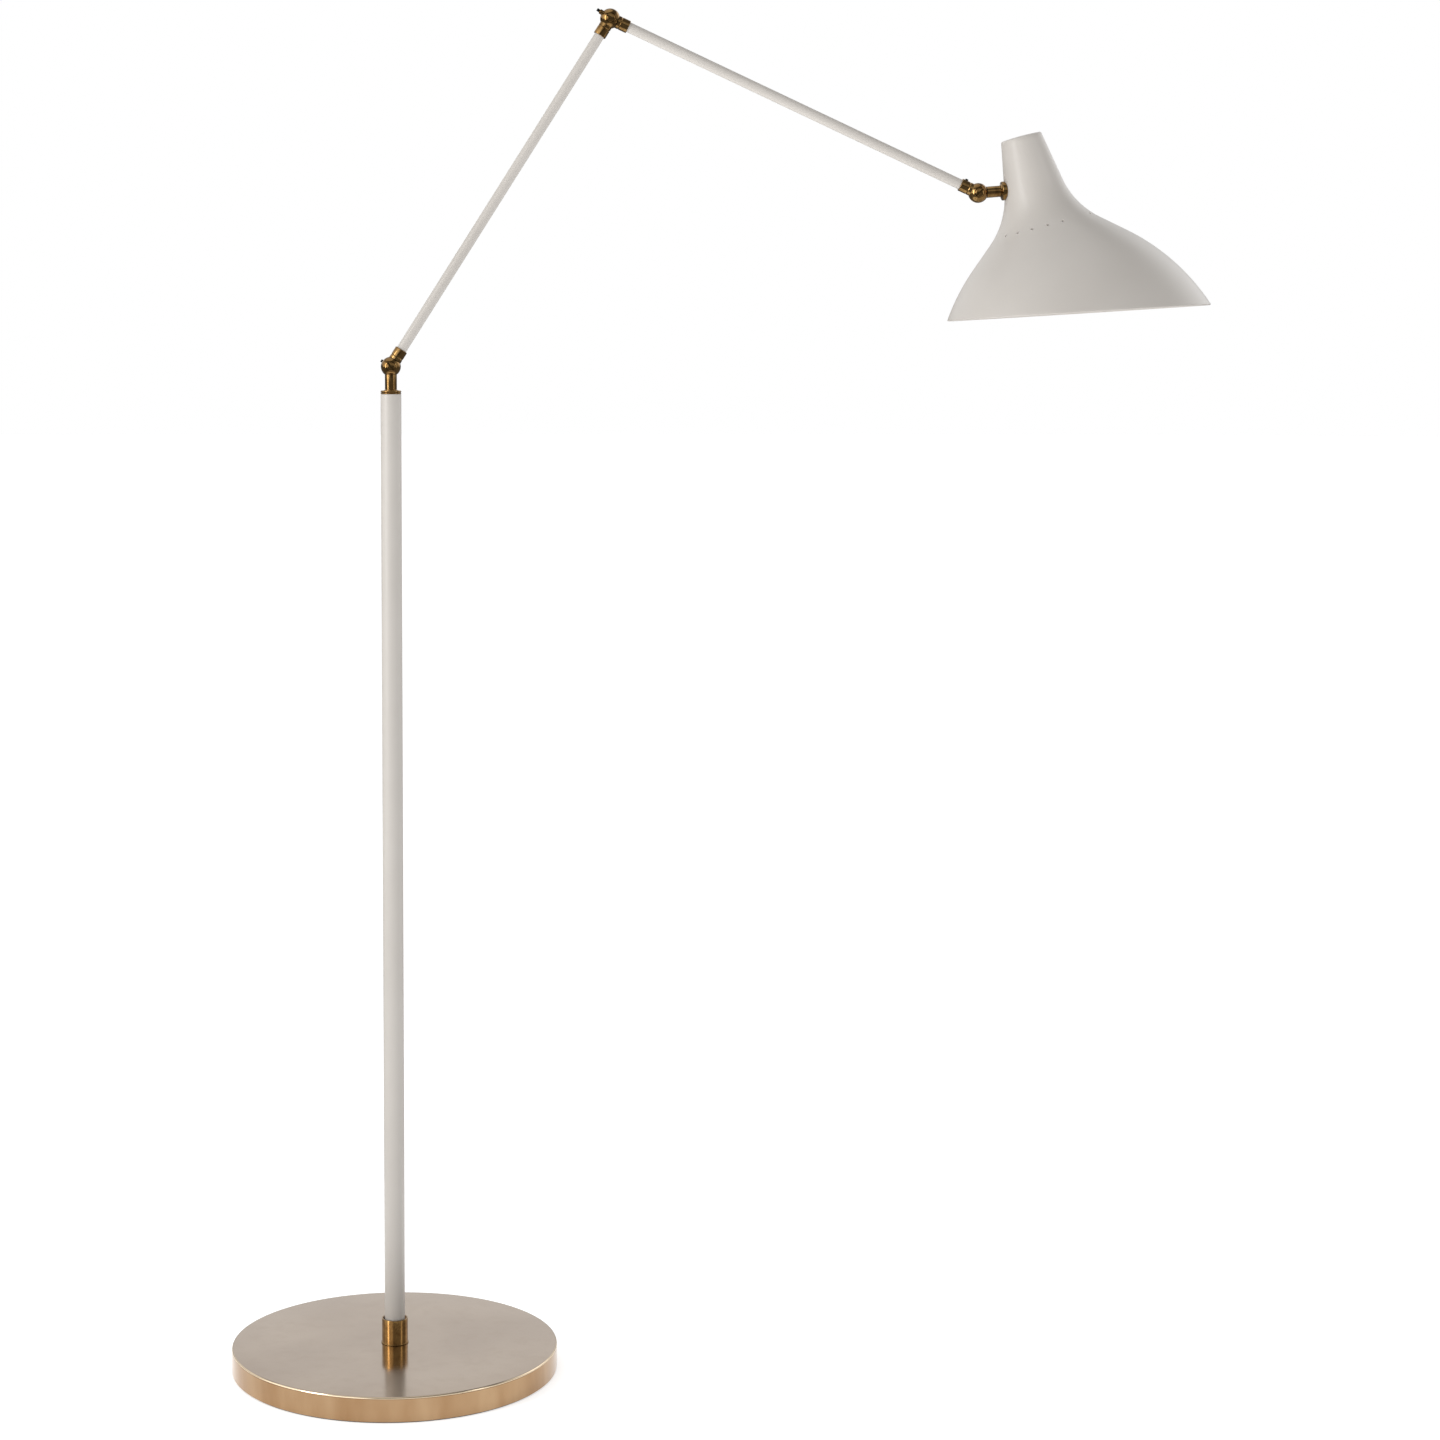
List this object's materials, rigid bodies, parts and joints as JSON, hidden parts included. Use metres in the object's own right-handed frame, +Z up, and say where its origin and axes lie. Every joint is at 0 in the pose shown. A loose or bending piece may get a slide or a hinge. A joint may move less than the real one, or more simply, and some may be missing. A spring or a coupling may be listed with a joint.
{
  "type": "adjustable arm floor lamp",
  "caption": "Floor lamp with a round weighted base, a pole, two arms on friction ball knuckles and a tilting bell-shaped shade.",
  "frame": {"origin": "centre of the base's underside, on the floor under the pole", "axes": "+Z up along the pole, +X towards the shade, Y along the knuckles' hinge screws"},
  "size_m": [0.9135, 0.307, 1.2668],
  "materials": {
    "white_paint": "satin",
    "antique_brass": "polished, aged",
    "base_brass": "satin, aged",
    "bright_brass": "plain",
    "cast_iron": "rough",
    "plated_steel": "plated",
    "black_steel": "blackened",
    "felt": "felt",
    "rubber": "matte",
    "fibre": "matte",
    "phenolic": "moulded",
    "flex_sheath": "matte",
    "frosted_glass": "frosted"
  },
  "bodies": {
    "stand": {"base_pad": "felt", "base_weight": "cast_iron", "base_cover": "base_brass", "base_washer": "plated_steel", "base_locknut": "plated_steel", "base_rod": "plated_steel", "cord_grommet": "rubber", "base_collar": "antique_brass", "pole_foot_plug": "plated_steel", "pole_tube": "white_paint", "pole_cap": "antique_brass", "flex_in_pole": "flex_sheath"},
    "arm_swivel": {"swivel_stem": "antique_brass", "swivel_washer": "plated_steel", "swivel_nut": "plated_steel", "lower_knuckle_hinge_screw": "antique_brass", "lower_knuckle_friction_ring": "fibre", "lower_knuckle_spring_washer": "plated_steel", "lower_knuckle_nut": "antique_brass"},
    "lower_arm": {"lower_knuckle_arm_half": "antique_brass", "lower_knuckle_tension_screw": "black_steel", "lower_arm_tube": "white_paint", "flex_in_lower_arm": "flex_sheath", "elbow_fixed_half": "antique_brass", "elbow_tension_screw": "black_steel", "elbow_hinge_screw": "antique_brass", "elbow_friction_ring": "fibre", "elbow_spring_washer": "plated_steel", "elbow_nut": "antique_brass"},
    "upper_arm": {"elbow_arm_half": "antique_brass", "upper_arm_tube": "white_paint", "flex_in_upper_arm": "flex_sheath", "head_knuckle_fixed_half": "antique_brass", "upper_arm_set_screw": "black_steel", "head_knuckle_hinge_screw": "antique_brass", "head_knuckle_friction_ring": "fibre", "head_knuckle_spring_washer": "plated_steel", "head_knuckle_nut": "antique_brass"},
    "head": {"head_stem": "antique_brass", "neck_washer": "antique_brass", "neck_nut": "plated_steel", "shade": "white_paint", "holder_bracket": "plated_steel", "holder_rod": "plated_steel", "holder_nut": "plated_steel", "holder_cap": "phenolic", "holder_body": "phenolic", "screw_shell": "bright_brass", "centre_contact": "bright_brass", "bulb_cap": "bright_brass", "bulb_glass": "frosted_glass"}
  },
  "joints": [
    {"name": "arm_turn", "type": "hinge", "parent": "stand", "child": "arm_swivel", "pos_m": [0, 0, 0.918], "axis": [0, 0, 1], "range_deg": [-175, 175]},
    {"name": "lower_arm_tilt", "type": "hinge", "parent": "arm_swivel", "child": "lower_arm", "pos_m": [0, 0, 0.9393], "axis": [0, 1, 0], "range_deg": [-78, 57.5]},
    {"name": "elbow_fold", "type": "hinge", "parent": "lower_arm", "child": "upper_arm", "pos_m": [0.20201, 0, 1.25761], "axis": [0, 1, 0], "range_deg": [-115, 7.5]},
    {"name": "head_tilt", "type": "hinge", "parent": "upper_arm", "child": "head", "pos_m": [0.54451, 0, 1.10008], "axis": [0, 1, 0], "range_deg": [-60, 85]}
  ]
}
